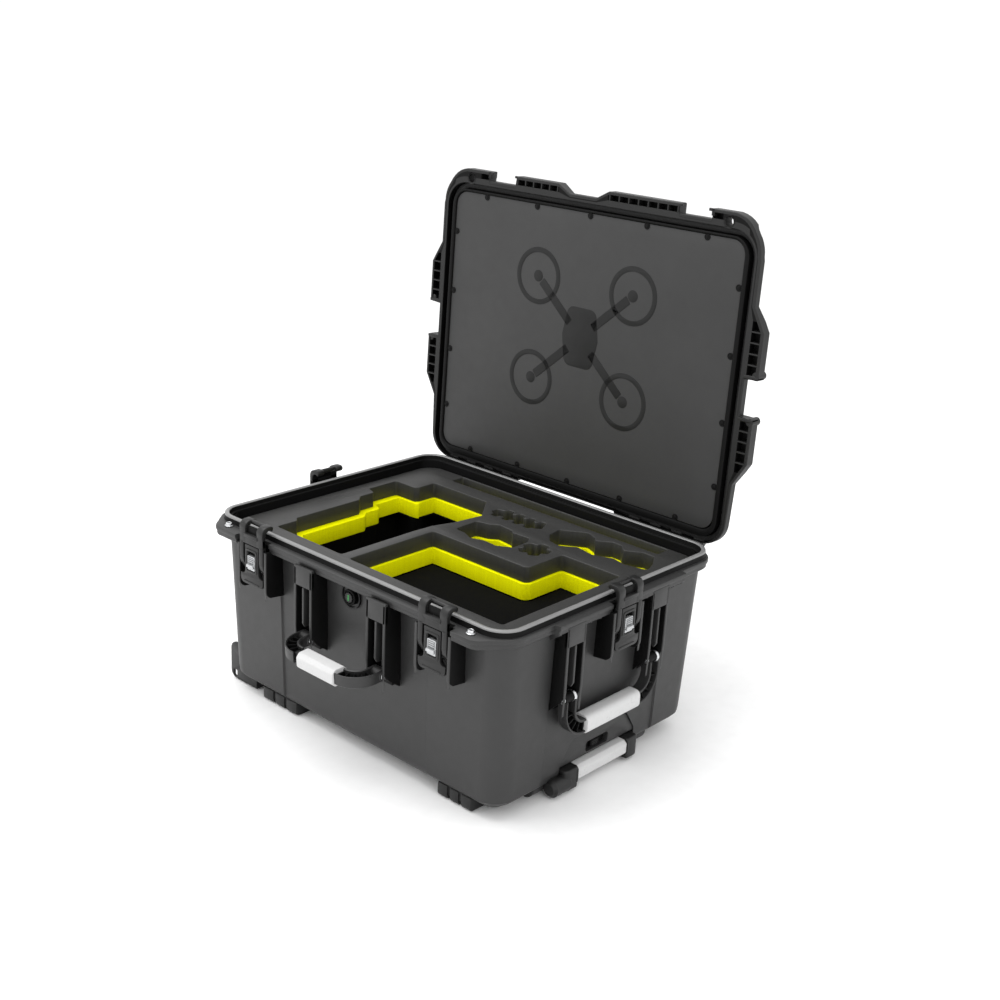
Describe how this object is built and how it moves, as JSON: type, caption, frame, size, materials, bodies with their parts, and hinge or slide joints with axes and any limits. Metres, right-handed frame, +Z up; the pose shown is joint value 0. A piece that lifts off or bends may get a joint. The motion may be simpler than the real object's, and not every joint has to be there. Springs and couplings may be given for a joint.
{
  "type": "wheeled hard carrying case",
  "caption": "Open hard carrying case for a camera drone: cut foam insert, hinged lid, hooked latches, fold-out carrying handles, wheels and a pull-out trolley handle.",
  "frame": {"origin": "middle of the whole object's footprint with the lid open, on the floor under the feet", "axes": "+X to the right along the long front side, -Y out of the front, +Y to the lid's hinge, +Z up"},
  "size_m": [0.642, 0.591, 0.7608],
  "materials": {
    "shell": "fine textured moulding",
    "panel": "satin sheet",
    "seal": "matt",
    "foam_dark": "closed-cell foam, matt",
    "foam_yellow": "closed-cell foam, matt",
    "grip": "soft overmould",
    "steel": "satin",
    "slider": "silver coated",
    "tube": "anodised",
    "dark_plastic": "satin",
    "black_plastic": "satin",
    "tyre": "matt"
  },
  "bodies": {
    "base": {"base_shell": "shell", "hinge_pin_left": "steel", "hinge_pin_right": "steel", "latch_front_left_pin": "steel", "latch_front_right_pin": "steel", "latch_left_pin": "steel", "latch_right_pin": "steel", "handle_front_pin_a": "steel", "handle_front_pin_b": "steel", "handle_left_pin_a": "steel", "handle_left_pin_b": "steel", "handle_right_pin_a": "steel", "handle_right_pin_b": "steel", "trolley_housing": "black_plastic", "wheel_front_axle": "steel", "wheel_front_housing": "black_plastic", "wheel_back_axle": "steel", "wheel_back_housing": "black_plastic", "skid_foot_front_left": "black_plastic", "skid_foot_front_right": "black_plastic", "skid_foot_back_left": "black_plastic", "skid_foot_back_right": "black_plastic", "foam_top": "foam_dark", "foam_middle": "foam_yellow", "foam_bottom": "foam_dark", "foam_base": "foam_dark", "padlock_bushing_left": "steel", "padlock_bushing_right": "steel", "pressure_valve_body": "black_plastic"},
    "lid": {"lid_shell": "shell", "lid_panel": "panel", "lid_seal": "seal"},
    "latch_front_left_claw": {"latch_front_left_claw": "black_plastic"},
    "latch_front_left_lever": {"latch_front_left_lever": "dark_plastic"},
    "latch_front_left_slide": {"latch_front_left_slide": "slider"},
    "latch_front_right_claw": {"latch_front_right_claw": "black_plastic"},
    "latch_front_right_lever": {"latch_front_right_lever": "dark_plastic"},
    "latch_front_right_slide": {"latch_front_right_slide": "slider"},
    "latch_left_claw": {"latch_left_claw": "black_plastic"},
    "latch_left_lever": {"latch_left_lever": "dark_plastic"},
    "latch_left_slide": {"latch_left_slide": "slider"},
    "latch_right_claw": {"latch_right_claw": "black_plastic"},
    "latch_right_lever": {"latch_right_lever": "dark_plastic"},
    "latch_right_slide": {"latch_right_slide": "slider"},
    "handle_front": {"handle_front_frame": "black_plastic", "handle_front_grip": "grip"},
    "handle_left": {"handle_left_frame": "black_plastic", "handle_left_grip": "grip"},
    "handle_right": {"handle_right_frame": "black_plastic", "handle_right_grip": "grip"},
    "trolley": {"trolley_bridge": "black_plastic", "trolley_grip": "grip", "trolley_tube_front": "tube", "trolley_tube_back": "tube"},
    "trolley_button": {"trolley_release_button": "black_plastic"},
    "wheel_front": {"wheel_front_hub": "dark_plastic", "wheel_front_tyre": "tyre"},
    "wheel_back": {"wheel_back_hub": "dark_plastic", "wheel_back_tyre": "tyre"},
    "valve_knob": {"pressure_valve_knob": "dark_plastic"}
  },
  "joints": [
    {"name": "lid_hinge", "type": "hinge", "parent": "base", "child": "lid", "pos_m": [0, 0.22834, 0.2788], "axis": [1, 0, 0], "range_deg": [0, 91.88]},
    {"name": "latch_front_left_claw_hinge", "type": "hinge", "parent": "base", "child": "latch_front_left_claw", "pos_m": [-0.178, -0.23986, 0.229], "axis": [1, 0, 0], "range_deg": [0, 60]},
    {"name": "latch_front_left_lever_hinge", "type": "hinge", "parent": "latch_front_left_claw", "child": "latch_front_left_lever", "pos_m": [-0.178, -0.24436, 0.261], "axis": [-1, 0, 0], "range_deg": [0, 60]},
    {"name": "latch_front_left_slide_lock", "type": "slide", "parent": "latch_front_left_lever", "child": "latch_front_left_slide", "axis": [0, 0, 1], "range_m": [0, 0.006]},
    {"name": "latch_front_right_claw_hinge", "type": "hinge", "parent": "base", "child": "latch_front_right_claw", "pos_m": [0.188, -0.23986, 0.229], "axis": [1, 0, 0], "range_deg": [0, 60]},
    {"name": "latch_front_right_lever_hinge", "type": "hinge", "parent": "latch_front_right_claw", "child": "latch_front_right_lever", "pos_m": [0.188, -0.24436, 0.261], "axis": [-1, 0, 0], "range_deg": [0, 60]},
    {"name": "latch_front_right_slide_lock", "type": "slide", "parent": "latch_front_right_lever", "child": "latch_front_right_slide", "axis": [0, 0, 1], "range_m": [0, 0.006]},
    {"name": "latch_left_claw_hinge", "type": "hinge", "parent": "base", "child": "latch_left_claw", "pos_m": [-0.3005, -0.00386, 0.229], "axis": [0, -1, 0], "range_deg": [0, 60]},
    {"name": "latch_left_lever_hinge", "type": "hinge", "parent": "latch_left_claw", "child": "latch_left_lever", "pos_m": [-0.305, -0.00386, 0.261], "axis": [0, 1, 0], "range_deg": [0, 60]},
    {"name": "latch_left_slide_lock", "type": "slide", "parent": "latch_left_lever", "child": "latch_left_slide", "axis": [0, 0, 1], "range_m": [0, 0.006]},
    {"name": "latch_right_claw_hinge", "type": "hinge", "parent": "base", "child": "latch_right_claw", "pos_m": [0.3005, -0.00386, 0.229], "axis": [0, 1, 0], "range_deg": [0, 60]},
    {"name": "latch_right_lever_hinge", "type": "hinge", "parent": "latch_right_claw", "child": "latch_right_lever", "pos_m": [0.305, -0.00386, 0.261], "axis": [0, -1, 0], "range_deg": [0, 60]},
    {"name": "latch_right_slide_lock", "type": "slide", "parent": "latch_right_lever", "child": "latch_right_slide", "axis": [0, 0, 1], "range_m": [0, 0.006]},
    {"name": "handle_front_hinge", "type": "hinge", "parent": "base", "child": "handle_front", "pos_m": [0.006, -0.23986, 0.16], "axis": [1, 0, 0], "range_deg": [-9, 86]},
    {"name": "handle_left_hinge", "type": "hinge", "parent": "base", "child": "handle_left", "pos_m": [-0.2955, -0.01286, 0.16], "axis": [0, 1, 0], "range_deg": [0, 95]},
    {"name": "handle_right_hinge", "type": "hinge", "parent": "base", "child": "handle_right", "pos_m": [0.2955, -0.01286, 0.16], "axis": [0, -1, 0], "range_deg": [0, 95]},
    {"name": "trolley_slide", "type": "slide", "parent": "base", "child": "trolley", "axis": [1, 0, 0], "range_m": [0, 0.38]},
    {"name": "trolley_button_press", "type": "slide", "parent": "base", "child": "trolley_button", "axis": [-1, 0, 0], "range_m": [0, 0.003], "stiffness_N_per_m": 300},
    {"name": "wheel_front_spin", "type": "hinge", "parent": "base", "child": "wheel_front", "pos_m": [-0.262, -0.17586, 0.029], "axis": [0, 1, 0], "continuous": true},
    {"name": "wheel_back_spin", "type": "hinge", "parent": "base", "child": "wheel_back", "pos_m": [-0.262, 0.16814, 0.029], "axis": [0, 1, 0], "continuous": true},
    {"name": "valve_knob_turn", "type": "hinge", "parent": "base", "child": "valve_knob", "pos_m": [0.005, -0.23186, 0.242], "axis": [0, -1, 0], "range_deg": [0, 90]}
  ]
}
